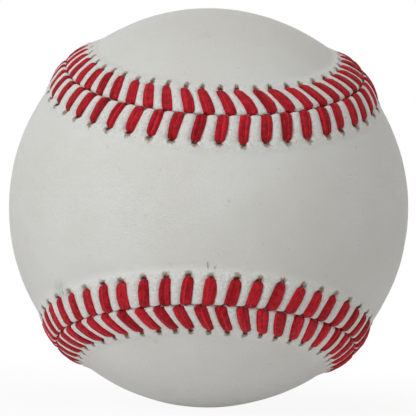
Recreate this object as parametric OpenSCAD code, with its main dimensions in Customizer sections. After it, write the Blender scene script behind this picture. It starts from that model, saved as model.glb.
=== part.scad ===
// Baseball: a cork and rubber pill, four windings of yarn and a stitched cover of two leather panels.
// The origin is the middle of the ball. The waist of panel A faces -Y, and the waist of panel B faces +Y.
// The pieces of the cover are worked out in the seam's own frame, where the waists lie along Z.

/* [Ball] */
// Radius over the bare leather, away from the seam
ball_radius = 36.9; // [34:0.1:40]

/* [Cover] */
// Thickness of the leather
cover_thickness = 1.27; // [0.9:0.01:1.6]
// Angle from the middle of a panel's round end to the seam
lobe_angle = 46; // [43:0.1:46.8]
// Angle from the middle of a panel's waist to the seam
waist_angle = 26.2; // [23:0.1:30]
// Gap between the cut edges of the two panels
seam_gap = 1.2; // [1:0.1:1.8]
// Height of the welt that the stitching pulls up along the seam
welt_height = 0.55; // [0.2:0.05:0.9]

/* [Stitching] */
// Stitches along the edge of each panel
stitch_count = 108; // [92:1:112]
// Distance from the seam to the needle holes
stitch_reach = 5.1; // [4.6:0.1:6]
// Diameter of one strand of the thread
strand_diameter = 0.7; // [0.5:0.05:0.75]
// Distance between the two strands that lie side by side in a stitch
strand_spacing = 0.65; // [0.5:0.05:0.7]
// Length of the thread's tail that goes down its needle hole
stitch_tuck = 0.45; // [0.2:0.05:0.6]
// Width of a needle hole, across the two strands' own width
hole_width = 1.5; // [1.3:0.1:1.8]

/* [Windings] */
// Thickness of the finishing winding of fine white yarn
finish_wall = 0.35; // [0.2:0.05:0.8]
// Thickness of the outer winding of grey three-ply wool
outer_wall = 2.2; // [1.5:0.1:3]
// Thickness of the middle winding of white three-ply wool
middle_wall = 1.8; // [1:0.1:2.5]

/* [Pill] */
// Diameter of the cork composition in the middle
cork_diameter = 20.6; // [16:0.1:22]
// Thickness of the black rubber half shells
shell_wall = 3.9; // [2:0.1:5]
// Thickness of the red rubber jacket
jacket_wall = 2.4; // [1.5:0.1:3.5]
// Thickness of the rubber gasket between the half shells
gasket_thickness = 0.8; // [0.5:0.1:1.5]

/* [Fits] */
// Clearance between pieces that lie against each other
fit_clear = 0.05; // [0.02:0.01:0.1]

/* [Hidden] */
$fn = 72;

// Colours
leather_white = [0.91, 0.90, 0.87];
thread_red = [0.68, 0.11, 0.15];
wool_grey = [0.55, 0.55, 0.56];
wool_white = [0.88, 0.86, 0.80];
finish_white = [0.95, 0.94, 0.91];
rubber_black = [0.12, 0.12, 0.13];
rubber_red = [0.62, 0.16, 0.14];
cork_brown = [0.72, 0.55, 0.36];

// Radii of the layers, from the cork outwards and from the cover inwards
cork_radius = cork_diameter / 2;
shell_inner = cork_radius + fit_clear;
shell_outer = shell_inner + shell_wall;
jacket_inner = shell_outer + fit_clear;
jacket_outer = jacket_inner + jacket_wall;
cover_inner = ball_radius - cover_thickness;
finish_outer = cover_inner - fit_clear;
finish_inner = finish_outer - finish_wall;
outer_outer = finish_inner - fit_clear;
outer_inner = outer_outer - outer_wall;
middle_outer = outer_inner - fit_clear;
middle_inner = middle_outer - middle_wall;
inner_outer = middle_inner - fit_clear;
inner_inner = jacket_outer + fit_clear;

// A block that is larger than the ball, for cutting
block = 3 * ball_radius;

// The seam is four round arcs, one round each panel end, joined by four straight runs.
// lobe_tilt is the angle by which the middle of a panel end lies past the level between the waists.
lobe_tilt = 90 - lobe_angle - waist_angle;
lobe_axis = [cos(lobe_tilt), 0, sin(lobe_tilt)];
to_waist = [-sin(lobe_tilt), 0, cos(lobe_tilt)];
sideways = [0, 1, 0];
// Angle that a straight run spans on the ball
run_angle = acos((pow(sin(lobe_angle), 2) - pow(sin(lobe_tilt), 2)) / pow(cos(lobe_angle), 2));
// Lean of the plane of a straight run
lean_from = atan2(sin(lobe_tilt), cos(lobe_tilt) / sqrt(2));
lean_size = sqrt(pow(cos(lobe_tilt), 2) / 2 + pow(sin(lobe_tilt), 2));
run_lean = lean_from - acos(sin(lobe_angle) / lean_size);
// Half the angle that an arc sweeps round its lobe's axis
arc_sweep = atan2(cos(run_lean) / sqrt(2),
                  sin(lobe_tilt) * cos(run_lean) / sqrt(2) - cos(lobe_tilt) * sin(run_lean));
// Lengths along the seam, in degrees of the ball's circumference
arc_length = arc_sweep * sin(lobe_angle);
quarter_length = 2 * arc_length + run_angle;
seam_length = 4 * quarter_length;
pitch = seam_length / stitch_count;

// Places of the stitches as shares of the pitch: where panel B's stitches dip into the seam,
// how far panel A's follow them, and how far each hole lies ahead of its own dip.
start_share = 0.46;
lead_share = 0.4;
slant_a_share = 0.1;
slant_b_share = 0.58;

// Vector helpers
function unit(v) = v / norm(v);
function arc_angle(length) = length / ball_radius * 180 / PI;
function swap_panels(v) = [v.y, v.x, -v.z];
function quarter_turn(v) = [-v.y, v.x, -v.z];
function turned(v, times) = times == 0 ? v : turned(quarter_turn(v), times - 1);

// Direction and heading of the seam over its first eighth, which starts at the tip of an arc of panel B
function arc_ring(sweep) = cos(sweep) * to_waist + sin(sweep) * sideways;
function arc_point(sweep) = cos(lobe_angle) * lobe_axis + sin(lobe_angle) * arc_ring(sweep);
function arc_heading(sweep) = cos(sweep) * sideways - sin(sweep) * to_waist;
run_start = arc_point(arc_sweep);
run_heading = arc_heading(arc_sweep);
function first_point(along) =
    along < arc_length ? arc_point(along / sin(lobe_angle))
    : cos(along - arc_length) * run_start + sin(along - arc_length) * run_heading;
function first_heading(along) =
    along < arc_length ? arc_heading(along / sin(lobe_angle))
    : cos(along - arc_length) * run_heading - sin(along - arc_length) * run_start;

// The same over the whole seam, by the half turn that swaps the panels and by turned quarters
function quarter_point(along) =
    along <= quarter_length / 2 ? first_point(along)
    : swap_panels(first_point(quarter_length - along));
function quarter_heading(along) =
    along <= quarter_length / 2 ? first_heading(along)
    : -swap_panels(first_heading(quarter_length - along));
function wrapped(along) = along - seam_length * floor(along / seam_length);
function quarter_number(along) = floor(wrapped(along) / quarter_length);
function in_quarter(along) = wrapped(along) - quarter_length * quarter_number(along);
function seam_point(along) = turned(quarter_point(in_quarter(along)), quarter_number(along));
function seam_heading(along) = turned(quarter_heading(in_quarter(along)), quarter_number(along));

// Direction at a distance beside the seam, towards panel A when side is 1 and panel B when it is -1
function beside_seam(along, distance, side) =
    let (ahead = seam_point(along), across = cross(ahead, seam_heading(along)))
    cos(arc_angle(distance)) * ahead + side * sin(arc_angle(distance)) * across;

// Where stitch number k of a panel dips into the seam, and where its needle hole is
function stitch_slant(side) = side > 0 ? slant_a_share : slant_b_share;
function dip_along(k, side) = (k + start_share + (side > 0 ? lead_share : 0)) * pitch;
function hole_along(k, side) = dip_along(k, side) + stitch_slant(side) * pitch;
function dip_direction(k, side) = seam_point(dip_along(k, side));
function hole_direction(k, side) = beside_seam(hole_along(k, side), stitch_reach, side);
function stitch_span(k, side) = acos(dip_direction(k, side) * hole_direction(k, side));

// Welt: the leather's face rises on a circle from its foot at the needle holes to its crest,
// and its edge rolls over a quarter round
crest_offset = seam_gap / 2 + cover_thickness;
welt_reach = stitch_reach - crest_offset;
crest_radius = ball_radius + welt_height;
roll_centre = crest_radius - cover_thickness;
welt_centre = (pow(crest_radius, 2) - pow(ball_radius, 2))
    / (2 * (crest_radius - ball_radius * cos(arc_angle(welt_reach))));

// Width of the leather's edge as far as it is worked out square to the seam, well past the needle
// holes: the share is of the leather's thickness
edge_share = 2.6;
edge_width = stitch_reach + edge_share * cover_thickness;
// How far one stretch of the edge runs into the next
overrun = 0.3;
// How much slimmer the welt is along the straight runs, so that each stretch ends inside its neighbour
run_ease = 0.02;

// Arch of a stitch: a circle through the middle of the thread at both ends of the stitch,
// which clears the rolled edge of the leather. The quadratic gives its centre's distance from the ball's.
function roll_point(span, stretch) =
    let (angle = arc_angle(crest_offset * stretch) - span / 2)
    roll_centre * [sin(angle), cos(angle)];
function roll_reach(stretch) = strand_diameter / 2 + 3 * fit_clear + cover_thickness * stretch;
function arch_centre(span, stretch) =
    let (chord = ball_radius * sin(span / 2),
         level = ball_radius * cos(span / 2),
         roll = roll_point(span, stretch),
         reach = roll_reach(stretch),
         p = 2 * (roll.y - level),
         q = pow(chord, 2) + pow(level, 2) - roll * roll - pow(reach, 2),
         a = pow(p, 2) - 4 * pow(reach, 2),
         b = 2 * p * q + 8 * pow(reach, 2) * roll.y,
         c = pow(q, 2) - 4 * pow(reach, 2) * (roll * roll))
    (-b + sqrt(max(0, b * b - 4 * a * c))) / (2 * a);

// Puts its children in the frame with the given axes
module in_axes(x, y, z) {
    multmatrix([[x.x, y.x, z.x, 0], [x.y, y.y, z.y, 0], [x.z, y.z, z.z, 0], [0, 0, 0, 1]])
        children();
}

// Turns the seam's frame so that the waist of panel A faces -Y
module seam_frame() {
    rotate([90, 0, 0])
        rotate([0, 0, 90])
            children();
}

module hollow_ball(inner, outer) {
    difference() {
        sphere(r = outer);
        sphere(r = inner);
    }
}

// Flat sector between two directions from the Y axis
module sector(from, to) {
    middle = (from + to) / 2;
    polygon([[0, 0], block * [sin(from), cos(from)], block * [sin(middle), cos(middle)],
             block * [sin(to), cos(to)]]);
}

// Section through the leather along its edge, square to the seam, which lies at seam_angle from the
// Y axis. The leather is on the axis side when side is -1, and on the far side when it is 1.
module edge_section(seam_angle, side, width, ease) {
    crest = seam_angle + side * arc_angle(crest_offset);
    welt_radius = crest_radius - welt_centre;
    difference() {
        union() {
            intersection() {
                union() {
                    circle(r = ball_radius);
                    rotate(-crest)
                        translate([0, welt_centre])
                            circle(r = welt_radius - ease);
                }
                sector(crest, seam_angle + side * arc_angle(width));
            }
            rotate(-crest)
                translate([0, roll_centre])
                    intersection() {
                        circle(r = cover_thickness - ease);
                        translate([-cover_thickness, ease])
                            square([2 * cover_thickness, cover_thickness]);
                    }
        }
        circle(r = cover_inner);
        rotate(-crest)
            translate([0, welt_centre])
                circle(r = welt_radius - cover_thickness + ease);
    }
}

// Edge of the leather swept round the Z axis from the X axis onwards, and a little past each end
module edge_sweep(seam_angle, side, sweep, width = edge_width, ease = 0) {
    past = arc_angle(overrun) / sin(seam_angle);
    rotate([0, 0, -past])
        rotate_extrude(angle = sweep + 2 * past)
            edge_section(seam_angle, side, width, ease);
}

// Cone round the Z axis, with its tip in the middle of the ball
module ball_cone(angle) {
    cylinder(h = block * cos(angle), r1 = 0, r2 = block * sin(angle));
}

// Inside of panel A: all of it that lies well clear of the welt
module panel_middle() {
    clear_angle = arc_angle(edge_width - cover_thickness);
    intersection() {
        hollow_ball(cover_inner, ball_radius);
        union() {
            for (turn = [0, 180])
                rotate([0, 0, turn])
                    rotate([-90 - lobe_tilt, 0, 0])
                        ball_cone(lobe_angle - clear_angle);
            difference() {
                translate([-block / 2, -block / 2, 0])
                    cube(block);
                for (turn = [0, 180])
                    rotate([0, 0, turn])
                        rotate([0, 90 - lobe_tilt, 0])
                            ball_cone(lobe_angle + clear_angle);
            }
        }
    }
}

// Edges of half of panel A: round its own end, outside the other panel's end, and the two runs between
module panel_edges() {
    run_pole = cross(run_start, run_heading);
    end_axis = swap_panels(lobe_axis);
    end_front = swap_panels(to_waist);
    in_axes(end_front, cross(end_axis, end_front), end_axis)
        rotate([0, 0, -arc_sweep])
            edge_sweep(lobe_angle, -1, 2 * arc_sweep);
    in_axes(to_waist, cross(lobe_axis, to_waist), lobe_axis)
        rotate([0, 0, -arc_sweep])
            edge_sweep(lobe_angle, 1, 2 * arc_sweep);
    for (flip = [0, 1])
        mirror([0, flip, 0])
            in_axes(run_start, run_heading, run_pole)
                edge_sweep(90, -1, run_angle, 2 * edge_width, run_ease);
}

// Whole panel A without its needle holes
module leather_panel() {
    panel_middle();
    for (turn = [0, 180])
        rotate([0, 0, turn])
            panel_edges();
}

// Axes of one stitch: X from its dip to its hole, Z outwards at its middle
module at_stitch(k, side) {
    dip = dip_direction(k, side);
    hole = hole_direction(k, side);
    forward = unit(hole - dip);
    outward = unit(hole + dip);
    in_axes(forward, cross(outward, forward), outward)
        children();
}

module needle_holes(side) {
    hole_length = strand_spacing + strand_diameter + 2 * fit_clear;
    for (k = [0 : stitch_count - 1])
        at_stitch(k, side)
            rotate([0, stitch_span(k, side) / 2, 0])
                translate([0, 0, cover_inner - cover_thickness])
                    linear_extrude(height = 3 * cover_thickness)
                        square([hole_width, hole_length], center = true);
}

// One stitch: two strands side by side, arched from the seam to the needle hole
module stitch(span) {
    stretch = ball_radius * span * PI / 180 / stitch_reach;
    centre = arch_centre(span, stretch);
    chord = ball_radius * sin(span / 2);
    level = ball_radius * cos(span / 2) - centre;
    arch_radius = norm([chord, level]);
    end_angle = atan2(level, chord);
    tuck_angle = stitch_tuck / arch_radius * 180 / PI;
    translate([0, 0, centre])
        rotate([90, 0, 0])
            rotate([0, 0, end_angle - tuck_angle])
                rotate_extrude(angle = 180 - 2 * end_angle + tuck_angle)
                    for (strand = [-1, 1])
                        translate([arch_radius, strand * strand_spacing / 2])
                            circle(d = strand_diameter, $fn = 24);
}

module stitches(side) {
    for (k = [0 : stitch_count - 1])
        at_stitch(k, side)
            stitch(stitch_span(k, side));
}

module cork_core() {
    color(cork_brown)
        sphere(r = cork_radius);
}

module core_half_shell() {
    color(rubber_black)
        intersection() {
            hollow_ball(shell_inner, shell_outer);
            translate([-block / 2, -block / 2, gasket_thickness / 2 + fit_clear])
                cube(block);
        }
}

module core_shell_upper() {
    core_half_shell();
}

module core_shell_lower() {
    mirror([0, 0, 1])
        core_half_shell();
}

module core_gasket() {
    color(rubber_red)
        intersection() {
            hollow_ball(shell_inner, shell_outer);
            cube([block, block, gasket_thickness], center = true);
        }
}

module core_jacket() {
    color(rubber_red)
        hollow_ball(jacket_inner, jacket_outer);
}

module winding_inner() {
    color(wool_grey)
        hollow_ball(inner_inner, inner_outer);
}

module winding_middle() {
    color(wool_white)
        hollow_ball(middle_inner, middle_outer);
}

module winding_outer() {
    color(wool_grey)
        hollow_ball(outer_inner, outer_outer);
}

module winding_finish() {
    color(finish_white)
        hollow_ball(finish_inner, finish_outer);
}

module cover_panel_a() {
    color(leather_white)
        seam_frame()
            difference() {
                leather_panel();
                needle_holes(1);
            }
}

module cover_panel_b() {
    color(leather_white)
        seam_frame()
            difference() {
                rotate(180, [1, 1, 0])
                    leather_panel();
                needle_holes(-1);
            }
}

module stitches_panel_a() {
    color(thread_red)
        seam_frame()
            stitches(1);
}

module stitches_panel_b() {
    color(thread_red)
        seam_frame()
            stitches(-1);
}

cork_core();
core_shell_lower();
core_shell_upper();
core_gasket();
core_jacket();
winding_inner();
winding_middle();
winding_outer();
winding_finish();
cover_panel_a();
cover_panel_b();
stitches_panel_a();
stitches_panel_b();
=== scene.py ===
from math import acos, atan2, cos, pi, radians, sin, sqrt

import bmesh
import bpy
import numpy as np
from mathutils import Matrix, Vector
from mathutils.geometry import delaunay_2d_cdt


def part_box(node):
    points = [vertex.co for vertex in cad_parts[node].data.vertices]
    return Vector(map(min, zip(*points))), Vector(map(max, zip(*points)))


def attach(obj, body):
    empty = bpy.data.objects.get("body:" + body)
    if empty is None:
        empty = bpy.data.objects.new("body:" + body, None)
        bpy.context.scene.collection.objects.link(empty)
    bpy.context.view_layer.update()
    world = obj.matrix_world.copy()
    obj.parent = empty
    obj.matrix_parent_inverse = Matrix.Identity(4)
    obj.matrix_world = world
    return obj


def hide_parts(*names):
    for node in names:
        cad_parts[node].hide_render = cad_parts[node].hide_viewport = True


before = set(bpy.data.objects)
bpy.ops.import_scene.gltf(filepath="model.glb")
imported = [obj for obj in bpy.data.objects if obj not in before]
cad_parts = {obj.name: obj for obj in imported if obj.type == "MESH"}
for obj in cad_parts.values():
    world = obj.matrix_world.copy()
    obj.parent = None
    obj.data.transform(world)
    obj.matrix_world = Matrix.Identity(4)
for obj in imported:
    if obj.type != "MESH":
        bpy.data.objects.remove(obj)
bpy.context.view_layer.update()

# Lengths are in millimetres until a mesh is made.
MM = 0.001
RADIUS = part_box("cover_panel_b")[1].y / MM
WINDING_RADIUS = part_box("winding_finish")[1].y / MM
FIT_CLEARANCE = 0.05
LEATHER = RADIUS - WINDING_RADIUS - FIT_CLEARANCE

# Seeds of the random draws. To some of them a panel's side, 1 or -1, is added.
SEED = 11
NEEDLEWORK_SEEDS = {1: SEED + 2, -1: SEED + 3}
WANDER_SEED = SEED + 3
PANEL_SEED = SEED + 5
SHADE_SEED = SEED + 9
STRAND_SEED = SEED + 15
FUZZ_SEED = SEED + 20
FUZZ_SHADE_SEED = SEED + 23
TORN_SEED = SEED + 30
TORN_SHADE_SEED = SEED + 33

# Photograph: its width, the ball's outline in it, and how the camera stands to the ball
FRAME_PIXELS = 416
OUTLINE_RADIUS = 199.6
OUTLINE_X = 208.5
OUTLINE_Y = 207.8
CAMERA_RADII = 16
CAMERA_TILT = radians(0.70)
CAMERA_TURN = radians(2.09)
CAMERA_ROLL = radians(-1.86)
SENSOR_WIDTH = 36

# Marks on the photographed ball: pixel and size of each, and the two ends of each fibre
SMEARS = ((62, 290, 1.5), (61, 300, 0.8))
SCUFFS = ((157, 341, 0.8), (166, 347, 0.7), (172, 350, 0.5))
STRAY_FIBRES = (((208.2, 271.0), (207.7, 261.8)), ((214.5, 268.5), (215.2, 265.2)))

# Seam: four arcs round the panel ends, joined by four straight runs
LOBE_ANGLE = radians(46)
WAIST_ANGLE = radians(26.2)
STITCHES = 108

# Stitches of panel A, side 1, and of panel B, side -1: lead and slant are shares of the pitch between
# stitches. Round the ends of panel B the holes lie further out.
ROWS = {1: {"lead": 0.4, "slant": 0.21, "end_reach": 0, "nearer": 0, "width": 0.97, "bow": -0.02},
        -1: {"lead": 0, "slant": 0.58, "end_reach": 0.75, "nearer": 0.1, "width": 1.07, "bow": -0.16}}
DIP_SHARE = 0.35
NEEDLE_DISTANCE = 4.95
END_SPAN = 22.0
# How much each stitch differs from the next
VARIES = {"dip": 0.1, "hole": 0.22, "reach": 0.17, "depth": 0.2, "lift": 0.06, "width": 0.09, "bow": 0.1}
# Share of the needle holes that stay shut, and how much more they open round the ends of panel B; an open
# hole gets more painted shade
SHUT_SHARE = 0.25
OPENS_AT_END = 0.5

# Leather across the seam: cut edge, rolled lip, welt and stitched band
LIP_GAP = 0.02
LIP_PRESS = 0.22
LIP_WIDTH = 0.8
LIP_DEPTH = 0.6
LIP_ANGLES = (180, 162, 145, 129, 114, 100)
CREST = LIP_GAP + LIP_WIDTH
CUT_EDGE = ((LIP_GAP + 0.12, -LEATHER), (LIP_GAP + 0.03, -0.95))
WELT_HEIGHT = 1.08
WELT_FOOT = 7.4
WELT_FALL = 1.6
BAND_WIDTH = 8.2
ROW_SPACING = 0.26
COLUMNS_PER_STITCH = 16

# Leather pressed by the thread and pulled by the needle: width, middle and length of each mound
GROOVE_DEPTH = 0.42
GROOVE_WIDTH = 1.12
GROOVE_MOST = 1.2
GROOVE_PARTS = 0.1
PILLOW_HEIGHT = 0.1
PUCKER = (0.7, -0.1, 0.5)
PUCKER_DEPTH = 0.45
SWELLING = (1.3, 1.0, 0.7)
SWELLING_HEIGHT = 0.07

# Where effects fade in across the band: distances from the seam, or heights over the ball
STITCHED_FADE = (NEEDLE_DISTANCE + 0.45, NEEDLE_DISTANCE - 0.5)
SEWN_LOOK_FADE = (NEEDLE_DISTANCE + 2, NEEDLE_DISTANCE + 0.5)
PRESS_HEIGHT_FADE = (-0.8, 0.05)
LIP_FADE = (2.3, 0.4)
LIP_HEIGHT_FADE = (-1.15, -0.5)
LOOSE_FADE = (0.3, 1.2)
# Painted shade deep in the seam valley: how near the seam and how low on the lip it fades in
VALLEY_SHADE_FADE = (2.0, 0.6)
VALLEY_SHADE_HEIGHT_FADE = (0.78, 0.43)
# The same for the wear round a needle hole, from the hole: beside it, short of it and past it
WEAR_BESIDE = (1.5, 1.1)
WEAR_SHORT = (-1.2, -0.8)
WEAR_PAST = (2.6, 2.1)
# How deep in the groove the thread rubs the leather red, and how far the red spreads from there
RUB_DEPTH = 0.45
RUB_SPREAD = 0.4

# Unevenness of the leather: height and wavelength
SEAM_WANDER = (0.07, 6.0)
SEWN_RIPPLE = (0.03, 2.2)
BROAD_RIPPLE = (0.05, 17.0)
SMALL_RIPPLE = (0.02, 6.0)
RIPPLE_WAVES = 14
WAVELENGTH_SHARES = (0.6, 1.4)
RIPPLE_PEAK = 1.4

# Rows of the mesh past the band and on the leather's back
INNER_SPACING = 1.2
HALF_ROW = BAND_WIDTH + 0.45
RING_ROW = BAND_WIDTH + 1.3
INNER_EDGE = RING_ROW + 0.75 * INNER_SPACING
BACK_ROWS = (0.7, 1.6, 3.6, 5.6, 7.6, RING_ROW)
SEAM_SAMPLE = 0.6

# Thread: two strands side by side, from the valley up over the welt and down into the needle hole
STRAND_WIDTH = 1.22
STRAND_THICKNESS = 0.64
STRAND_SPACING = 0.84
STRAND_LEAN = 0.16
STRAND_FRAY = 0.2
THREAD_SIDES = 7
THREAD_SINK = 0.1
DIVE_START = (0.12, -0.5)
DIVE_ANGLES = (195, 160, 130, 105)
ARCH_START = CREST + 0.15
ARCH_BEFORE_HOLE = 1.0
ARCH_POINTS = 5
# The thread's end: distance before the needle hole, and depth under the welt
TAIL = ((0.55, 0.05), (0.27, 0.18), (0.07, 0.45), (-0.08, 0.9))
HOLE_APART = 0.13
SWAY = 0.05
LIFT_VARIES = 0.02
SKEW = (0.7, 1.5)
# Spacing of the strands in the valley, what it gains at mid-stitch and loses at the needle hole
SPREAD_START = 0.92
SPREAD_GAIN = 0.14
SPREAD_LOSS = 0.24
# The same for the swell of a strand
SWELL_START = 0.9
SWELL_GAIN = 0.17
SWELL_LOSS = 0.13
SHADE_STEP = 0.13
# Fullness of the thread in the middle of the ball, and how it changes to the right and upwards
FULLNESS = 1.15
FULLER_RIGHT = 0.15
FULLER_UP = -0.17

# Loose fibres: on the thread, at the needle holes, and single ones on the leather
FUZZ_COUNT = 700
FUZZ_THICKNESS = 0.035
FUZZ_DISTANCE = (0.9, NEEDLE_DISTANCE - 0.4)
FUZZ_OFFSET = (0.5, 0.95)
FUZZ_LEAN = 0.9
FUZZ_LENGTH = 0.25
FUZZ_LONGER = 0.22
FUZZ_LONGEST = 1.5
TORN_PER_HOLE = 3
TORN_THICKNESS = 0.05
TORN_SPREAD = 0.24
TORN_DISTANCE = (-0.05, 0.35)
TORN_LEAN = 0.6
TORN_LENGTH = (0.15, 0.4)
STRAY_THICKNESS = 0.2
STRAY_HEIGHT = 0.14
FIBRE_POINTS = 5
FIBRE_SIDES = 3
FIBRE_FRAY = 0.1
FIBRE_TIP = 0.5
FIBRE_ARCH = 0.8

# Finishes inside the cover: dark and light colour, scale or roughness, and their parts
YARNS = (("grey_wool", (96, 96, 98), (156, 156, 158), 330, ("winding_inner", "winding_outer")),
         ("white_wool", (176, 170, 156), (226, 221, 208), 400, ("winding_middle",)),
         ("finishing_yarn", (196, 192, 182), (243, 241, 234), 900, ("winding_finish",)))
MOULDED = (("black_rubber", (30, 30, 32), (44, 44, 46), 0.55, ("core_shell_lower", "core_shell_upper")),
           ("red_rubber", (140, 40, 36), (164, 52, 44), 0.55, ("core_gasket", "core_jacket")),
           ("pressed_cork", (126, 90, 58), (196, 156, 110), 0.75, ("cork_core",)))

# Stage, in metres: lamps with their place, size, power in watts and colour
FLOOR_HALF = 3.0
FLOOR_FADE = (0.045, 0.16)
FLOOR_WHITE = (0.91, 1.0)
FLOOR_GLOW = 0.24
LAMPS = (("key", (-1.15, -1.05, 0.75), 1.1, 12.4, (0.95, 0.977, 1.0)),
         ("fill", (1.5, 0.3, 0.5), 1.2, 0.7, (1, 1, 1)),
         ("top", (-0.2, -0.9, 1.7), 1.2, 7.9, (1.0, 0.985, 0.96)))


def srgb(*screen):
    """Linear colour from a screen's red, green and blue of 0 to 255."""
    shares = [value / 255 for value in screen]
    return (*(s / 12.92 if s <= 0.04045 else ((s + 0.055) / 1.055) ** 2.4 for s in shares), 1.0)


def place_object(name, data):
    """A new object in the scene, at the origin."""
    placed = bpy.data.objects.new(name, data)
    bpy.context.scene.collection.objects.link(placed)
    return placed


# Camera
def make_camera():
    """The photograph's camera: square to the waist of panel A, but for a slight turn."""
    data = bpy.data.cameras.new("camera")
    camera = place_object("camera", data)
    focal_pixels = OUTLINE_RADIUS * sqrt(CAMERA_RADII ** 2 - 1)
    data.sensor_width = SENSOR_WIDTH
    data.lens = focal_pixels * SENSOR_WIDTH / FRAME_PIXELS
    data.shift_x = (FRAME_PIXELS / 2 - OUTLINE_X) / FRAME_PIXELS
    data.shift_y = (OUTLINE_Y - FRAME_PIXELS / 2) / FRAME_PIXELS
    data.clip_start = 0.01
    data.clip_end = 20
    ball_turn = (Matrix.Rotation(CAMERA_TILT, 3, "X") @ Matrix.Rotation(CAMERA_TURN, 3, "Y")
                 @ Matrix.Rotation(CAMERA_ROLL, 3, "Z"))
    to_frame = Matrix(((1, 0, 0), (0, 0, -1), (0, 1, 0)))
    axes = to_frame @ ball_turn.transposed()
    place = axes @ Vector((0, 0, CAMERA_RADII * RADIUS * MM))
    camera.matrix_world = Matrix.Translation(place) @ axes.to_4x4()
    bpy.context.scene.camera = camera
    return axes


CAMERA_AXES = make_camera()


# Seam, worked out in its own frame: the waist of panel A is at +Z, and the ends of panel B lie along X
LOBE_TILT = pi / 2 - LOBE_ANGLE - WAIST_ANGLE
LOBE_AXIS = np.array([cos(LOBE_TILT), 0, sin(LOBE_TILT)])
TO_WAIST = np.array([-sin(LOBE_TILT), 0, cos(LOBE_TILT)])
SIDEWAYS = np.array([0.0, 1.0, 0.0])
RUN_ANGLE = acos((sin(LOBE_ANGLE) ** 2 - sin(LOBE_TILT) ** 2) / cos(LOBE_ANGLE) ** 2)
LEAN_FROM = atan2(sin(LOBE_TILT), cos(LOBE_TILT) / sqrt(2))
LEAN_SIZE = sqrt(cos(LOBE_TILT) ** 2 / 2 + sin(LOBE_TILT) ** 2)
RUN_LEAN = LEAN_FROM - acos(sin(LOBE_ANGLE) / LEAN_SIZE)
ARC_SWEEP = atan2(
    cos(RUN_LEAN) / sqrt(2),
    sin(LOBE_TILT) * cos(RUN_LEAN) / sqrt(2) - cos(LOBE_TILT) * sin(RUN_LEAN))
ARC_LENGTH = ARC_SWEEP * sin(LOBE_ANGLE) * RADIUS
QUARTER = 2 * ARC_LENGTH + RUN_ANGLE * RADIUS
SEAM_LENGTH = 4 * QUARTER
PITCH = SEAM_LENGTH / STITCHES
COLUMNS = COLUMNS_PER_STITCH * STITCHES
ALONG = np.arange(COLUMNS) * SEAM_LENGTH / COLUMNS


def swap_panels(vectors):
    """From a place on one panel to the same place on the other."""
    return np.stack([vectors[..., 1], vectors[..., 0], -vectors[..., 2]], axis=-1)


def quarter_turn(vectors):
    """From a quarter of the seam to the next one."""
    return np.stack([-vectors[..., 1], vectors[..., 0], -vectors[..., 2]], axis=-1)


def to_ball(vectors):
    """From the seam's frame to the ball's own, where the waist of panel A faces -Y."""
    return np.stack([-vectors[..., 1], -vectors[..., 2], vectors[..., 0]], axis=-1)


def first_eighth(along):
    """Direction and heading of the seam up to the middle of its first straight run."""
    sweep = (np.minimum(along, ARC_LENGTH) / RADIUS / sin(LOBE_ANGLE))[..., None]
    past = (np.maximum(along - ARC_LENGTH, 0) / RADIUS)[..., None]
    ring = np.cos(sweep) * TO_WAIST + np.sin(sweep) * SIDEWAYS
    point = cos(LOBE_ANGLE) * LOBE_AXIS + sin(LOBE_ANGLE) * ring
    heading = np.cos(sweep) * SIDEWAYS - np.sin(sweep) * TO_WAIST
    return (np.cos(past) * point + np.sin(past) * heading,
            np.cos(past) * heading - np.sin(past) * point)


def seam_at(along):
    """Direction, heading and the direction across to panel A, at distances along the seam."""
    along = np.mod(np.asarray(along, float), SEAM_LENGTH)
    quarter = np.minimum(np.floor(along / QUARTER), 3)
    rest = along - quarter * QUARTER
    second = rest > QUARTER / 2
    point, heading = first_eighth(np.where(second, QUARTER - rest, rest))
    swapped = second[..., None]
    point = np.where(swapped, swap_panels(point), point)
    heading = np.where(swapped, -swap_panels(heading), heading)
    for turns in (1, 2, 3):
        turned = (quarter >= turns)[..., None]
        point = np.where(turned, quarter_turn(point), point)
        heading = np.where(turned, quarter_turn(heading), heading)
    return point, heading, np.cross(point, heading)


def beside_seam(along, distance, side):
    """Direction at a distance from the seam, in panel A when side is 1 and panel B when -1."""
    point, _, across = seam_at(along)
    angle = (np.asarray(distance) / RADIUS)[..., None]
    return np.cos(angle) * point + side * np.sin(angle) * across


def round_seam(length):
    """A length along the seam, taken the shorter way round."""
    return np.mod(length + SEAM_LENGTH / 2, SEAM_LENGTH) - SEAM_LENGTH / 2


# Shape of the leather
def smooth_step(low, high, value):
    """0 at low, 1 at high, and a smooth change between them."""
    share = np.clip((value - low) / (high - low), 0, 1)
    return share * share * (3 - 2 * share)


def ripple(directions, height, wavelength, seed):
    """Soft random undulation over the ball, up to about a height."""
    chance = np.random.default_rng(seed)
    total = np.zeros(directions.shape[:-1])
    for _ in range(RIPPLE_WAVES):
        axis = chance.normal(size=3)
        axis /= np.linalg.norm(axis)
        rate = 2 * pi * RADIUS / wavelength * chance.uniform(*WAVELENGTH_SHARES)
        total += np.sin(rate * (directions @ axis) + chance.uniform(0, 2 * pi))
    return height * total / sqrt(RIPPLE_WAVES) / RIPPLE_PEAK


def undulation(directions):
    """Slight unevenness of the leather over the winding."""
    return ripple(directions, *BROAD_RIPPLE, SEED) + ripple(directions, *SMALL_RIPPLE, SEED + 1)


def welt_rise(distance):
    """Height of the welt over the ball, before the thread presses into it."""
    share = np.clip((distance - CREST) / (WELT_FOOT - CREST), 0, 1)
    return WELT_HEIGHT * (1 - share ** 2) ** WELT_FALL


def lip_point(angle, sink=0.0):
    """A point of the rolled lip, from 180 degrees in the valley to 90 on the crest."""
    angle = radians(angle)
    return (CREST + (LIP_WIDTH - sink) * cos(angle),
            WELT_HEIGHT - LIP_DEPTH + (LIP_DEPTH - sink) * sin(angle))


def welt_rows():
    """Distance and height of the rows from the crest of the welt outwards."""
    return [(distance, float(welt_rise(distance))) for distance in np.arange(CREST, BAND_WIDTH, ROW_SPACING)]


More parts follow.
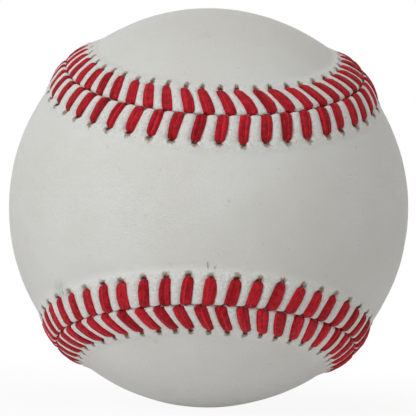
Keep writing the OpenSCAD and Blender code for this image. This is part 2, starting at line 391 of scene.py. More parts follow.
def stitch_share(distance):
    """How far along a stitch a place lies: 0 in the valley, 1 at the needle hole."""
    face = np.array([lip_point(angle) for angle in range(180, 90, -6)] + welt_rows())
    travelled = np.concatenate([[0], np.cumsum(np.linalg.norm(np.diff(face, axis=0), axis=1))])
    share = np.interp(distance, face[:, 0], travelled)
    return np.clip(share / np.interp(NEEDLE_DISTANCE, face[:, 0], travelled), 0, 1)


class Needlework:
    """Where each stitch of one panel dips and comes up, and how it was pulled."""

    def __init__(self, side):
        chance = np.random.default_rng(NEEDLEWORK_SEEDS[side])
        number = np.arange(STITCHES)
        row = ROWS[side]

        def vary(name):
            return chance.uniform(-VARIES[name], VARIES[name], STITCHES)

        self.side = side
        self.dip = (number + DIP_SHARE + row["lead"]) * PITCH + vary("dip")
        self.hole = self.dip + row["slant"] * PITCH + vary("hole")
        self.hole_distance = NEEDLE_DISTANCE + vary("reach")
        to_end = np.mod(number * PITCH + QUARTER, 2 * QUARTER) - QUARTER
        near_end = np.exp(-(to_end / END_SPAN) ** 2)
        self.hole_distance += row["end_reach"] * near_end - row["nearer"]
        self.depth = 1 + vary("depth")
        self.lift = vary("lift")
        right, _, up = to_ball(seam_at(self.hole)[0]).T
        fullness = FULLNESS + FULLER_RIGHT * right + FULLER_UP * up
        self.width = row["width"] * fullness + vary("width")
        self.bow = row["bow"] + chance.normal(0, VARIES["bow"], STITCHES)
        self.chance = chance.uniform(0, 1, STITCHES)
        other_chance = np.mod(self.chance * 7, 1)
        self.open = np.clip(other_chance - SHUT_SHARE + OPENS_AT_END * near_end, 0, 1)

    def thread_along(self, number, share):
        """Where along the seam the thread of a stitch lies."""
        return (self.dip[number] + (self.hole[number] - self.dip[number]) * share
                + self.bow[number] * np.sin(pi * share))

    def pressed(self, along, share):
        """How far the thread presses the leather down: about 1 under a stitch."""
        groove = np.zeros_like(along)
        slant = (self.hole[0] - self.dip[0]) * share
        first = np.round((along - self.dip[0] - slant) / PITCH).astype(int)
        for step in (-1, 0, 1):
            number = np.mod(first + step, STITCHES)
            beside = round_seam(along - self.thread_along(number, share))
            groove += self.depth[number] * np.exp(-(beside / GROOVE_WIDTH) ** 4)
        return np.clip(groove, 0, GROOVE_MOST)


def mound(beside, past, width, middle, length):
    """A soft mound near a needle hole, 1 at its middle."""
    return np.exp(-(beside / width) ** 2 - ((past - middle) / length) ** 2)


def needle_marks(work, along, distance):
    """Change in height where the needle pulled the leather, and the masks for its marks."""
    first = np.round((along - work.hole[0]) / PITCH).astype(int) - 1
    away = np.stack([round_seam(along - work.hole[np.mod(first + step, STITCHES)]) for step in range(3)])
    number = np.mod(first + np.abs(away).argmin(axis=0), STITCHES)
    beside = round_seam(along - work.hole[number])
    past = distance - work.hole_distance[number]
    pulled = PUCKER_DEPTH * work.depth[number] * mound(beside, past, *PUCKER)
    change = SWELLING_HEIGHT * mound(beside, past, *SWELLING) - pulled
    close = (smooth_step(*WEAR_BESIDE, np.abs(beside)) * smooth_step(*WEAR_SHORT, past)
             * smooth_step(*WEAR_PAST, past))
    return change, {"hole_close": close, "hole_beside": beside, "hole_past": past,
                    "hole_chance": work.chance[number], "hole_open": work.open[number]}


def band_points(work, other):
    """Rows of points of the leather's face beside the seam, and the masks for its finish."""
    rows = np.array([*CUT_EDGE, *(lip_point(angle) for angle in LIP_ANGLES), *welt_rows()])
    along, distance = np.meshgrid(ALONG, rows[:, 0])
    height = np.repeat(rows[:, 1:2], COLUMNS, axis=1)
    stitched = smooth_step(*STITCHED_FADE, distance)
    groove = work.pressed(along, stitch_share(distance)) * stitched
    facing = other.pressed(along, np.zeros_like(along))
    dented, masks = needle_marks(work, along, distance)
    change = stitched * PILLOW_HEIGHT - groove * (GROOVE_DEPTH + PILLOW_HEIGHT) + dented
    height = height + change * smooth_step(*PRESS_HEIGHT_FADE, height)
    lip = smooth_step(*LIP_FADE, distance) * smooth_step(*LIP_HEIGHT_FADE, height)
    untouched = np.clip(1 - groove - facing, 0, 1)
    distance = distance + lip * (GROOVE_PARTS * groove - LIP_PRESS * untouched)
    ahead = beside_seam(along, distance, work.side)
    loose = smooth_step(*LOOSE_FADE, distance)
    distance = distance + work.side * ripple(ahead, *SEAM_WANDER, WANDER_SEED) * (1 - loose)
    sewn = ripple(ahead, *SEWN_RIPPLE, PANEL_SEED + work.side + 1) * stitched
    height = height + (undulation(ahead) + sewn) * loose
    ahead = beside_seam(along, distance, work.side)
    masks["thread_rub"] = stitched * np.exp(-((groove - RUB_DEPTH) / RUB_SPREAD) ** 2)
    masks["stitched"] = smooth_step(*SEWN_LOOK_FADE, distance)
    # Painted shade, darker the deeper the lips go into the seam valley
    masks["seam_dirt"] = smooth_step(*VALLEY_SHADE_HEIGHT_FADE, height) * smooth_step(*VALLEY_SHADE_FADE, distance)
    masks["smear"] = marked(ahead, SMEARS)
    masks["scuff"] = marked(ahead, SCUFFS)
    return ahead * (RADIUS + height)[..., None], masks


def pixel_direction(pixel):
    """Direction, in the seam's frame, of what a pixel of the photograph shows."""
    far = CAMERA_RADII
    scale = 1 / OUTLINE_RADIUS / sqrt(far ** 2 - 1)
    ray = Vector(((pixel[0] - OUTLINE_X) * scale, (OUTLINE_Y - pixel[1]) * scale, -1))
    square = ray.length_squared
    reach = (far - sqrt(far ** 2 - square * (far ** 2 - 1))) / square
    place = CAMERA_AXES @ (Vector((0, 0, far)) + reach * ray)
    return np.array([place.z, -place.x, -place.y])


def marked(directions, marks):
    """Mask of the marks round some pixels of the photograph."""
    total = np.zeros(directions.shape[:-1])
    for x, y, size in marks:
        away = np.arccos(np.clip(directions @ pixel_direction((x, y)), -1, 1)) * RADIUS
        total += np.exp(-(away / size) ** 2)
    return np.clip(total, 0, 1)


def fibonacci_ball(spacing):
    """Evenly spread directions over a whole ball."""
    count = int(4 * pi * RADIUS ** 2 / spacing ** 2)
    number = np.arange(count) + 0.5
    polar = np.arccos(1 - 2 * number / count)
    turn = pi * (1 + sqrt(5)) * number
    return np.stack([np.cos(turn) * np.sin(polar), np.sin(turn) * np.sin(polar), np.cos(polar)], axis=-1)


def inside_directions(side, margin):
    """Directions inside one panel that lie further than margin from the seam."""
    directions = fibonacci_ball(INNER_SPACING)
    point, _, across = seam_at(np.arange(0, SEAM_LENGTH, SEAM_SAMPLE))
    closeness = directions @ point.T
    nearest = closeness.argmax(axis=1)
    distance = np.arccos(np.clip(closeness.max(axis=1), -1, 1)) * RADIUS
    on_side = np.einsum("ij,ij->i", directions, across[nearest]) * side > 0
    return directions[on_side & (distance > margin)]


def flattened(directions, side):
    """A conformal map of one panel: along its length, and across it."""
    own = directions if side > 0 else swap_panels(directions)
    return np.stack([np.arctan2(own[:, 1], own[:, 2]), np.arctanh(own[:, 0])], axis=-1)


def fill_triangles(ring, inner, side):
    """Triangles over the inside of a panel, within a ring."""
    flat = flattened(np.concatenate([ring, inner]), side)
    result = delaunay_2d_cdt([Vector(p) for p in flat], [], [list(range(len(ring)))], 1, 1e-7)
    origin = [ids[0] for ids in result[3]]
    return np.array([[origin[i] for i in face] for face in result[2]])


class Surface:
    """Collects points and faces of one mesh."""

    def __init__(self):
        self.points = []
        self.faces = []

    def add_points(self, points):
        """Takes in points and gives back their numbers."""
        start = sum(map(len, self.points))
        self.points.append(points)
        return start + np.arange(len(points))

    def add_faces(self, faces):
        self.faces.extend(np.asarray(faces).tolist())

    def strip(self, one, other):
        """Quads between two closed rows of as many points."""
        self.add_faces(np.stack([one, np.roll(one, -1), np.roll(other, -1), other], axis=1))

    def halving(self, fine, coarse):
        """Triangles between a closed row and one of half as many points."""
        left, middle, right = fine[0::2], fine[1::2], np.roll(fine, -2)[0::2]
        after = np.roll(coarse, -1)
        for corners in ([left, middle, coarse], [middle, after, coarse], [middle, right, after]):
            self.add_faces(np.stack(corners, axis=1))

    def mesh(self, name, masks):
        """The closed mesh, in the ball's own frame, with the masks of the points added first."""
        mesh = bpy.data.meshes.new(name)
        mesh.from_pydata((to_ball(np.concatenate(self.points)) * MM).tolist(), [], self.faces)
        for key in sorted(masks):
            values = np.zeros(len(mesh.vertices))
            values[:masks[key].size] = masks[key].ravel()
            store(mesh, key, values)
        work = bmesh.new()
        work.from_mesh(mesh)
        bmesh.ops.recalc_face_normals(work, faces=work.faces)
        work.to_mesh(mesh)
        work.free()
        mesh.polygons.foreach_set("use_smooth", np.ones(len(mesh.polygons), bool))
        mesh.update()
        return mesh


def store(mesh, name, values, kind="FLOAT", field="value"):
    """Keeps a value at each point of a mesh."""
    layer = mesh.attributes.new(name, kind, "POINT")
    layer.data.foreach_set(field, np.asarray(values, np.float32).ravel())


def leather_mesh(name, work, other):
    """One panel of the cover, closed: its stitched band, its smooth inside and its back."""
    surface = Surface()
    points, masks = band_points(work, other)
    ids = surface.add_points(points.reshape(-1, 3)).reshape(points.shape[:2])
    for row, after in zip(ids[:-1], ids[1:]):
        surface.strip(row, after)

    def parallel_row(distance, step, back=False):
        """A row beside the seam, with a point for every step columns."""
        ahead = beside_seam(ALONG[::step], distance, work.side)
        rise = np.full(len(ahead), -LEATHER) if back else undulation(ahead)
        return ahead, surface.add_points(ahead * (RADIUS + rise)[:, None])

    # Outer face, inside the band
    _, half = parallel_row(HALF_ROW, 2)
    ring_ahead, ring = parallel_row(RING_ROW, 4)
    surface.halving(ids[-1], half)
    surface.halving(half, ring)
    inner = inside_directions(work.side, INNER_EDGE)
    triangles = fill_triangles(ring_ahead, inner, work.side)
    filled = np.concatenate([ring, surface.add_points(inner * (RADIUS + undulation(inner))[:, None])])
    surface.add_faces(filled[triangles])

    # Back of the leather
    _, back_half = parallel_row(BACK_ROWS[0], 2, back=True)
    _, back = parallel_row(BACK_ROWS[1], 4, back=True)
    surface.halving(ids[0], back_half)
    surface.halving(back_half, back)
    for distance in BACK_ROWS[2:]:
        _, after = parallel_row(distance, 4, back=True)
        surface.strip(back, after)
        back = after
    filled = np.concatenate([back, surface.add_points(inner * (RADIUS - LEATHER))])
    surface.add_faces(filled[triangles])
    return surface.mesh(name, masks)


# Stitches
def strand_lines(work):
    """Lines of the two strands of each stitch, with their outward directions and swell."""
    chance = np.random.default_rng(STRAND_SEED + work.side)
    number = np.arange(STITCHES)[:, None]
    dive = np.array([DIVE_START] + [lip_point(angle, THREAD_SINK) for angle in DIVE_ANGLES])
    tail = np.array(TAIL)
    parts = []
    for sign in (-1, 1):
        hole = (work.hole_distance + chance.uniform(-HOLE_APART, HOLE_APART, STITCHES))[:, None]
        arch = ARCH_START + (hole - ARCH_BEFORE_HOLE - ARCH_START) * np.linspace(0, 1, ARCH_POINTS)
        end = hole - tail[:, 0]
        dived = np.broadcast_to(dive, (STITCHES, *dive.shape))
        distance = np.concatenate([dived[..., 0], arch, end], axis=1)
        height = np.concatenate([dived[..., 1], welt_rise(arch) - THREAD_SINK,
                                 welt_rise(end) - THREAD_SINK - tail[:, 1]], axis=1)
        share = stitch_share(distance)
        bulge = np.sin(pi * share)
        sway = chance.normal(0, SWAY, (STITCHES, 1))
        sway = sway * np.sin(2 * pi * (share + chance.uniform(0, 1)))
        spread = STRAND_SPACING / 2 * (SPREAD_START + SPREAD_GAIN * bulge - SPREAD_LOSS * share ** 3)
        along = work.thread_along(number, share) + sign * spread + sway
        lift = work.lift[number] + chance.normal(0, LIFT_VARIES, (STITCHES, 1))
        ahead = beside_seam(along, distance, work.side)
        outward = ahead + sign * STRAND_LEAN * seam_at(along)[1]
        skew = chance.uniform(*SKEW, (STITCHES, 1))
        swell = SWELL_START - SWELL_LOSS * share + SWELL_GAIN * np.sin(pi * share ** skew)
        swell = work.width[number] * swell
        parts.append((ahead * (RADIUS + height + lift * bulge)[..., None], outward, swell))
    return [np.concatenate(arrays) for arrays in zip(*parts)]


def line_mesh(name, lines, outward, swell, shade):
    """A mesh of open lines that keeps outward direction, swell and shade at each point."""
    number, count = lines.shape[:2]
    ids = np.arange(number * count).reshape(number, count)
    edges = np.stack([ids[:, :-1].ravel(), ids[:, 1:].ravel()], axis=1)
    mesh = bpy.data.meshes.new(name)
    mesh.from_pydata((to_ball(lines) * MM).reshape(-1, 3).tolist(), edges.tolist(), [])
    store(mesh, "outward", to_ball(outward), "FLOAT_VECTOR", "vector")
    store(mesh, "swell", np.broadcast_to(swell, (number, count)))
    store(mesh, "thread_shade", np.broadcast_to(shade, (number, count)))
    return place_object(name, mesh)


class Tree:
    """Short forms for adding and joining the nodes of one tree."""

    def __init__(self, tree):
        self.tree = tree

    def add(self, kind, inputs=(), **settings):
        """Adds a node with its settings, then its inputs."""
        node = self.tree.nodes.new(kind)
        for key, value in settings.items():
            setattr(node, key, value)
        for key, value in dict(inputs).items():
            self.feed(node, key, value)
        return node

    def value(self, kind, inputs=(), **settings):
        """Adds a node and gives back its first output."""
        return self.add(kind, inputs, **settings).outputs[0]

    def feed(self, node, key, value):
        """Links an input to a socket, or sets its value."""
        socket = node.inputs[key]
        if isinstance(value, bpy.types.NodeSocket):
            self.tree.links.new(value, socket)
        else:
            socket.default_value = value

    def math(self, operation, first, second=0.0):
        return self.value("ShaderNodeMath", {0: first, 1: second}, operation=operation)

    def times(self, first, second):
        return self.math("MULTIPLY", first, second)

    def plus(self, first, second):
        return self.math("ADD", first, second)

    def minus(self, first, second):
        return self.math("SUBTRACT", first, second)

    def larger(self, first, second):
        return self.math("MAXIMUM", first, second)

    def remap(self, value, low, high, to_low=0.0, to_high=1.0):
        return self.value("ShaderNodeMapRange", {0: value, 1: low, 2: high, 3: to_low, 4: to_high},
                          interpolation_type="SMOOTHSTEP")

    def mix(self, factor, first, second):
        return self.add("ShaderNodeMix", {0: factor, 6: first, 7: second}, data_type="RGBA").outputs[2]

    def stain_and_painted_light(self, colour, where, strength, tint):
        return self.mix(self.times(where, strength), colour, tint)

    def noise(self, vector, scale, detail=2.0, roughness=0.5):
        return self.value("ShaderNodeTexNoise", {"Vector": vector, "Scale": scale, "Detail": detail,
                                                 "Roughness": roughness})

    def scaled(self, vector, scale):
        return self.value("ShaderNodeMapping", {"Vector": vector, "Scale": scale})

    def mask(self, name):
        return self.add("ShaderNodeAttribute", attribute_name=name, attribute_type="GEOMETRY").outputs["Fac"]

    def place_along(self, geometry, name, output):
        """Keeps how far along its curve each point lies."""
        share = self.add("GeometryNodeSplineParameter").outputs[output]
        kept = self.add("GeometryNodeCaptureAttribute")
        kept.capture_items.new("FLOAT", name)
        self.feed(kept, "Geometry", geometry)
        self.feed(kept, name, share)
        return kept.outputs["Geometry"], kept.outputs[name]


# Kinds of the inputs and outputs of groups; all others are numbers
SOCKET_KINDS = {"Geometry": "Geometry", "Material": "Material", "Vector": "Vector", "Sides": "Int",
                "Seed": "Int"}


def new_group(name, inputs, outputs, kind="ShaderNodeTree"):
    """An empty group of nodes with named inputs and outputs."""
    tree = bpy.data.node_groups.new(name, kind)
    for way, names in (("INPUT", inputs), ("OUTPUT", outputs)):
        for key in names:
            socket = "NodeSocket" + SOCKET_KINDS.get(key, "Float")
            tree.interface.new_socket(key, in_out=way, socket_type=socket)
    net = Tree(tree)
    return tree, net, net.add("NodeGroupInput").outputs


def sweep_tree():
    """Geometry nodes that sweep a strand of thread along every line of a mesh."""
    inputs = ("Geometry", "Strand Width", "Strand Thickness", "Fray", "Sides", "Seed", "Material")
    tree, net, given = new_group("thread_sweep", inputs, ("Geometry",), "GeometryNodeTree")

    # The line of the strand, turned so that its flat side lies on the leather
    line = net.value("GeometryNodeMeshToCurve", {"Mesh": given["Geometry"]})
    outward = net.value("GeometryNodeInputNamedAttribute", {"Name": "outward"}, data_type="FLOAT_VECTOR")
    line = net.value("GeometryNodeSetCurveNormal", {"Curve": line, "Normal": outward}, mode="FREE")
    line, along = net.place_along(line, "along", "Length")

    # The section of the strand
    ring = net.value("GeometryNodeCurvePrimitiveCircle", {"Resolution": given["Sides"], "Radius": 0.5})
    ring, around = net.place_along(ring, "around", "Factor")
    size = net.value("ShaderNodeCombineXYZ", {0: given["Strand Thickness"], 1: given["Strand Width"], 2: 1})
    ring = net.value("GeometryNodeTransform", {"Geometry": ring, "Scale": size})
    swell = net.value("GeometryNodeInputNamedAttribute", {"Name": "swell"}, data_type="FLOAT")
    swept = net.value("GeometryNodeCurveToMesh", {
        "Curve": line, "Profile Curve": ring, "Scale": swell, "Fill Caps": True})

    # Slight unevenness of the strand
    wander = net.add("ShaderNodeTexNoise", {
        "Vector": net.value("GeometryNodeInputPosition"), "W": net.times(given["Seed"], 7.31),
        "Scale": 750, "Detail": 1.5}, noise_dimensions="4D")
    centred = net.value("ShaderNodeVectorMath", {0: wander.outputs["Color"], 1: (0.5, 0.5, 0.5)},
                        operation="SUBTRACT")
    frayed = net.value("ShaderNodeVectorMath", {0: centred, "Scale": given["Fray"]}, operation="SCALE")
    swept = net.value("GeometryNodeSetPosition", {"Geometry": swept, "Offset": frayed})
    for name, value in (("thread_along", along), ("thread_around", around)):
        swept = net.value("GeometryNodeStoreNamedAttribute", {
            "Geometry": swept, "Name": name, "Value": value}, data_type="FLOAT", domain="POINT")
    swept = net.value("GeometryNodeSetShadeSmooth", {"Geometry": swept})
    swept = net.value("GeometryNodeRealizeInstances", {"Geometry": swept})
    swept = net.value("GeometryNodeSetMaterial", {"Geometry": swept, "Material": given["Material"]})
    net.add("NodeGroupOutput", {"Geometry": swept})
    return tree


def swept_piece(guide, tree, width, thickness, fray, sides, seed, material):
    """Runs the tree on a guide of lines and keeps the result as a plain mesh."""
    sizes = {"Strand Width": width * MM, "Strand Thickness": thickness * MM, "Fray": fray * MM,
             "Sides": sides, "Seed": seed, "Material": material}
    modifier = guide.modifiers.new("sweep", "NODES")
    modifier.node_group = tree
    for item in tree.interface.items_tree:
        if item.item_type == "SOCKET" and item.in_out == "INPUT" and item.name in sizes:
            modifier[item.identifier] = sizes[item.name]
    bpy.context.view_layer.update()
    graph = bpy.context.evaluated_depsgraph_get()
    mesh = bpy.data.meshes.new_from_object(guide.evaluated_get(graph), depsgraph=graph)
    guide.modifiers.remove(modifier)
    old = guide.data
    guide.data = mesh
    bpy.data.meshes.remove(old)
    mesh.name = guide.name


# Finishes
def grain_group():
    """Fine skin: cells with creases between them, pores and soft blotches."""
    tree, net, given = new_group(
        "skin_grain", ("Vector", "Cell Scale", "Blotch Scale"), ("Tone", "Pores", "Height"))
    place, scale = given["Vector"], given["Cell Scale"]
    cells = net.value("ShaderNodeTexVoronoi", {"Vector": place, "Scale": scale}, feature="DISTANCE_TO_EDGE")
    creases = net.remap(cells, 0, 0.16)
    fine = net.noise(place, net.times(scale, 1.7), 4, 0.6)
    pores = net.remap(net.noise(place, net.times(scale, 0.42), 1), 0.70, 0.80)
    blotch = net.noise(place, given["Blotch Scale"], 4, 0.55)
    height = net.plus(net.times(creases, 0.45), net.times(fine, 0.55))
    height = net.minus(height, net.times(pores, 0.5))
    net.add("NodeGroupOutput", {"Tone": blotch, "Pores": pores, "Height": height})
    return tree


def fibre_group():
    """Long fibres that run along a strand, a little twisted round it."""
    tree, net, given = new_group(
        "fibres", ("Along", "Around", "Shade", "Twist", "Fineness", "Length", "Wave"), ("Tone",))
    length = net.times(given["Along"], given["Length"])
    apart = net.times(given["Shade"], 47)
    wave_at = net.value("ShaderNodeCombineXYZ", {0: length, 1: apart})
    wave = net.times(net.minus(net.noise(wave_at, 0.9, 1), 0.5), given["Wave"])
    turned = net.plus(given["Around"], net.times(given["Along"], given["Twist"]))
    circle = net.times(net.plus(turned, wave), 2 * pi)
    vector = net.value("ShaderNodeCombineXYZ", {
        0: net.times(net.math("COSINE", circle), given["Fineness"]),
        1: net.times(net.math("SINE", circle), given["Fineness"]),
        2: net.plus(length, apart)})
    net.add("NodeGroupOutput", {"Tone": net.noise(vector, 1, 3, 0.6)})
    return tree


def wound_group():
    """Yarn wound round a ball in many crossing directions."""
    tree, net, given = new_group("wound_yarn", ("Vector", "Yarn Scale"), ("Tone", "Height"))
    place = given["Vector"]
    patches = net.add("ShaderNodeTexVoronoi", {"Vector": place, "Scale": 55}).outputs["Color"]
    lean = net.times(net.value("ShaderNodeSeparateColor", {0: patches}), pi)
    turned = net.value("ShaderNodeVectorRotate", {"Vector": place, "Angle": lean, "Axis": (0.4, 0.5, 0.77)})
    bands = net.add("ShaderNodeTexWave", {"Vector": turned, "Scale": given["Yarn Scale"],
                                          "Distortion": 1.5, "Detail": 2, "Detail Scale": 2})
    fuzz = net.noise(place, 4000, 3, 0.6)
    height = net.plus(bands.outputs["Fac"], net.times(fuzz, 0.3))
    # The tone follows the height: darker where the yarn lies lower, a painted shade between the turns
    net.add("NodeGroupOutput", {"Tone": net.times(height, 0.75), "Height": height})
    return tree


def blank_material(name):
    """A material with a plain shader, and what a finish is built from."""
    material = bpy.data.materials.new(name)
    material.use_nodes = True
    material.node_tree.nodes.clear()
    net = Tree(material.node_tree)
    shader = net.add("ShaderNodeBsdfPrincipled")
    net.add("ShaderNodeOutputMaterial", {"Surface": shader.outputs[0]})
    place = net.add("ShaderNodeTexCoord").outputs["Object"]
    return material, net, shader, place


def bump(net, shader, height, distance):
    """Gives a finish its fine relief, with a distance in metres."""
    normal = net.value("ShaderNodeBump", {"Height": height, "Distance": distance})
    net.feed(shader, "Normal", normal)


def needle_wear(net, place):
    """Masks for the ragged grey patch, the tears and the painted shade of the open hole at the end of each
    stitch.
    """
    beside, past, chance, close, opened = (
        net.mask("hole_" + name) for name in ("beside", "past", "chance", "close", "open"))
    ragged = net.noise(place, 1900, 3, 0.7)
    coarse = net.noise(place, 800, 2, 0.6)
    rough = net.plus(net.times(ragged, 1.1), net.times(coarse, 0.9))

    def spot(middle, width, length):
        """Distance from the middle of a spot, which is 1 at its edge."""
        across = net.math("DIVIDE", beside, width)
        out = net.math("DIVIDE", net.minus(past, middle), length)
        return net.math("SQRT", net.plus(net.times(across, across), net.times(out, out)))

    def tear(lean, shift):
        """A ragged line from the hole outwards."""
        line = net.plus(net.minus(beside, net.times(past, lean)), net.times(ragged, shift))
        line = net.remap(net.math("ABSOLUTE", line), 0.26, 0.04)
        return net.times(line, net.remap(net.minus(past, coarse), 0.6, 0.1))

    patch = net.remap(net.plus(spot(0.4, 0.75, 0.95), rough), 2.05, 1.5)
    lean = net.minus(net.times(chance, 1.2), 0.2)
    tears = net.larger(tear(lean, 0.3), tear(net.minus(lean, 0.9), -0.3))
    tears = net.times(tears, net.remap(past, -0.2, 0.1))
    # Painted shade inside the needle hole, darker the more the hole is open
    hole = net.remap(net.plus(spot(0.16, 0.55, 0.42), net.times(ragged, 0.9)), 1.5, 1.15)
    hole = net.times(hole, net.remap(opened, 0, 0.7, 0.15, 1))
    return [net.times(value, close) for value in (patch, tears, hole)]


def leather_material(grain):
    """White tawed leather with marks of the needle, the thread and the hand, painted shade in the seam
    valley and the needle holes, and painted highlights among its specks.
    """
    material, net, shader, place = blank_material("tawed_leather")
    skin = net.add("ShaderNodeGroup", node_tree=grain, inputs={
        "Vector": place, "Cell Scale": 2300, "Blotch Scale": 45}).outputs
    stitched = net.mask("stitched")
    yellow = net.noise(place, 130, 4, 0.65)
    cloud = net.noise(place, 1500, 3, 0.65)
    speck = net.noise(place, 1900, 3, 0.7)
    streaked = net.noise(net.scaled(place, (1, 1, 0.35)), 1900, 3, 0.75)
    patch, tears, hole = needle_wear(net, place)
    mottled = net.mix(net.remap(cloud, 0.35, 0.65), srgb(136, 108, 96), srgb(196, 178, 164))

    # Each stain or painted shade: where it lies, its strength and its colour, from the bare leather up
    tone = net.remap(skin["Tone"], 0.3, 0.7)
    colour = net.mix(tone, srgb(214, 213, 208), srgb(220, 220, 217))
    stains_and_painted_light = (
        (stitched, 0.9, srgb(230, 230, 226)),
        (net.remap(yellow, 0.6, 0.8), 0.45, srgb(206, 198, 178)),
        (skin["Pores"], 0.2, srgb(168, 160, 148)),
        (net.times(net.mask("thread_rub"), net.remap(cloud, 0.45, 0.72)), 0.4, srgb(208, 150, 152)),
        # Specks of random tone on the stitched leather; the lighter ones are painted highlights
        (net.times(stitched, net.remap(speck, 0.46, 0.3)), 0.6, srgb(192, 188, 178)),
        (net.times(stitched, net.remap(speck, 0.52, 0.68)), 0.7, srgb(242, 243, 241)),
        (net.times(net.mask("smear"), net.remap(streaked, 0.34, 0.62, 0.2)), 0.75, srgb(150, 143, 156)),
        (net.times(net.mask("scuff"), net.remap(streaked, 0.4, 0.6)), 0.45, srgb(204, 190, 150)),
        (patch, 0.95, mottled),
        (tears, 0.6, srgb(122, 94, 82)),
        # painted shade inside the needle hole, nearly black
        (hole, 0.95, srgb(34, 20, 18)),
        # painted shade deep in the seam valley
        (net.mask("seam_dirt"), 0.3, srgb(176, 146, 136)))
    for stain_and_painted_light in stains_and_painted_light:
        colour = net.stain_and_painted_light(colour, *stain_and_painted_light)
    net.feed(shader, "Base Color", colour)
    net.feed(shader, "Roughness", net.remap(skin["Tone"], 0.2, 0.8, 0.5, 0.62))
    shader.inputs["Specular IOR Level"].default_value = 0.35
    creased = net.noise(net.scaled(place, (1, 1, 2)), 1300, 4, 0.7)
    creases = net.times(net.times(creased, stitched), 5)
    torn = net.times(net.plus(patch, tears), -0.8)
    bump(net, shader, net.plus(skin["Height"], net.plus(creases, torn)), 0.00007)
    return material


def raw_leather_material():
    """Torn fibres of the leather, grey and brown with dirt."""
    material, net, shader, place = blank_material("raw_leather_fibre")
    colour = net.mix(net.mask("thread_shade"), srgb(164, 140, 122), srgb(214, 206, 194))
    speck = net.remap(net.noise(place, 3000, 2), 0.55, 0.75)
    net.feed(shader, "Base Color", net.mix(speck, colour, srgb(90, 72, 62)))
    shader.inputs["Roughness"].default_value = 0.8
    return material


def thread_material(fibres):
    """Waxed red cotton thread, with painted shade between its fibres and a painted sheen on its fuzz."""
    material, net, shader, place = blank_material("waxed_thread")
    shade = net.mask("thread_shade")
    strands = net.value("ShaderNodeGroup", node_tree=fibres, inputs={
        "Along": net.mask("thread_along"), "Around": net.mask("thread_around"), "Shade": shade,
        "Twist": 0.3, "Fineness": 2.6, "Length": 4.5, "Wave": 0.3})
    mottle = net.noise(place, 1100, 3, 0.65)
    # The colour follows the fibres' relief: darker in the grooves between fibres, a painted shade, mixed
    # with random mottling
    tone = net.plus(net.times(strands, 0.62), net.times(mottle, 0.38))
    tone = net.remap(net.plus(tone, net.times(shade, -0.06)), 0.36, 0.6)
    fuzz = net.noise(place, 2600, 3, 0.7)
    colour = net.mix(tone, srgb(130, 5, 18), srgb(210, 27, 45))
    # Light pink where the fuzz stands up: the thread's loose fuzz, partly a painted sheen
    colour = net.stain_and_painted_light(colour, net.remap(fuzz, 0.52, 0.74), 0.26, srgb(222, 96, 102))
    net.feed(shader, "Base Color", colour)
    net.feed(shader, "Roughness", net.remap(tone, 0, 1, 0.78, 0.66))
    shader.inputs["Specular IOR Level"].default_value = 0.15
    shader.inputs["Sheen Weight"].default_value = 0.05
    shader.inputs["Sheen Roughness"].default_value = 0.5
    bump(net, shader, net.plus(strands, net.times(fuzz, 0.4)), 0.00013)
    return material


def yarn_material(name, wound, dark, light, scale):
    """A winding of wool or cotton yarn."""
    material, net, shader, place = blank_material(name)
    winding = net.add("ShaderNodeGroup", {"Vector": place, "Yarn Scale": scale}, node_tree=wound).outputs
    # Painted shade in the hollows between turns of yarn, from the winding's tone
    net.feed(shader, "Base Color", net.mix(winding["Tone"], dark, light))
    shader.inputs["Roughness"].default_value = 0.9
    shader.inputs["Sheen Weight"].default_value = 0.3
    bump(net, shader, winding["Height"], 0.0004)
    return material


def moulded_material(name, grain, dark, light, rough):
    """Moulded rubber or pressed cork, with fine grains."""
    material, net, shader, place = blank_material(name)
    skin = net.add("ShaderNodeGroup", node_tree=grain, inputs={
        "Vector": place, "Cell Scale": 700, "Blotch Scale": 300}).outputs
    net.feed(shader, "Base Color", net.mix(net.remap(skin["Tone"], 0.35, 0.65), dark, light))
    net.feed(shader, "Roughness", net.remap(skin["Height"], 0, 1, rough, rough + 0.12))
    bump(net, shader, skin["Height"], 0.0001)
    return material


def paint(piece, material):
    """Gives a piece one material."""
    piece.data.materials.clear()
    piece.data.materials.append(material)


# Loose fibres
def hair_lines(start, outward, heading, bend, length, hook, rise):
    """Short curved lines that leave a surface at start and lean over it towards heading."""
    share = np.linspace(0, 1, FIBRE_POINTS)[None, :, None]
    length, hook, rise = (np.asarray(value)[:, None, None] for value in (length, hook, rise))
    start, outward, heading, bend = (vectors[:, None, :] for vectors in (start, outward, heading, bend))
    lines = start + heading * length * share + bend * hook * length * share ** 2
    lines = lines + outward * rise * np.sin(pi * FIBRE_ARCH * share)
    return lines, np.broadcast_to(outward, lines.shape)


def standing_fibres(work, chance, along, distance, lean, length, start, hook, rise):
    """Fibres that stand beside the seam at a lean, and hook and rise by chance."""
    _, heading, across = seam_at(along)
    across = across * work.side
    outward = beside_seam(along, distance, work.side)
    cosine, sine = np.cos(lean)[:, None], np.sin(lean)[:, None]
    return hair_lines(
        outward * (RADIUS + welt_rise(distance) + start)[:, None], outward,
        cosine * heading + sine * across, cosine * across - sine * heading, length,
        chance.normal(0, hook, len(along)), chance.uniform(*rise, len(along)))


def thread_fuzz(work):
    """Fine fibres that stand off the thread, and lean over its edges."""
    chance = np.random.default_rng(FUZZ_SEED + work.side)
    count = FUZZ_COUNT
    number = chance.integers(STITCHES, size=count)
    distance = chance.uniform(*FUZZ_DISTANCE, count)
    offset = chance.choice((-1, 1), count) * chance.uniform(*FUZZ_OFFSET, count)
    along = work.thread_along(number, stitch_share(distance)) + offset
    lean = np.where(offset > 0, 0, pi) + chance.normal(0, FUZZ_LEAN, count)
    length = np.minimum(FUZZ_LENGTH + chance.exponential(FUZZ_LONGER, count), FUZZ_LONGEST)
    return standing_fibres(work, chance, along, distance, lean, length,
                           start=0.05, hook=0.6, rise=(0.0, 0.22))


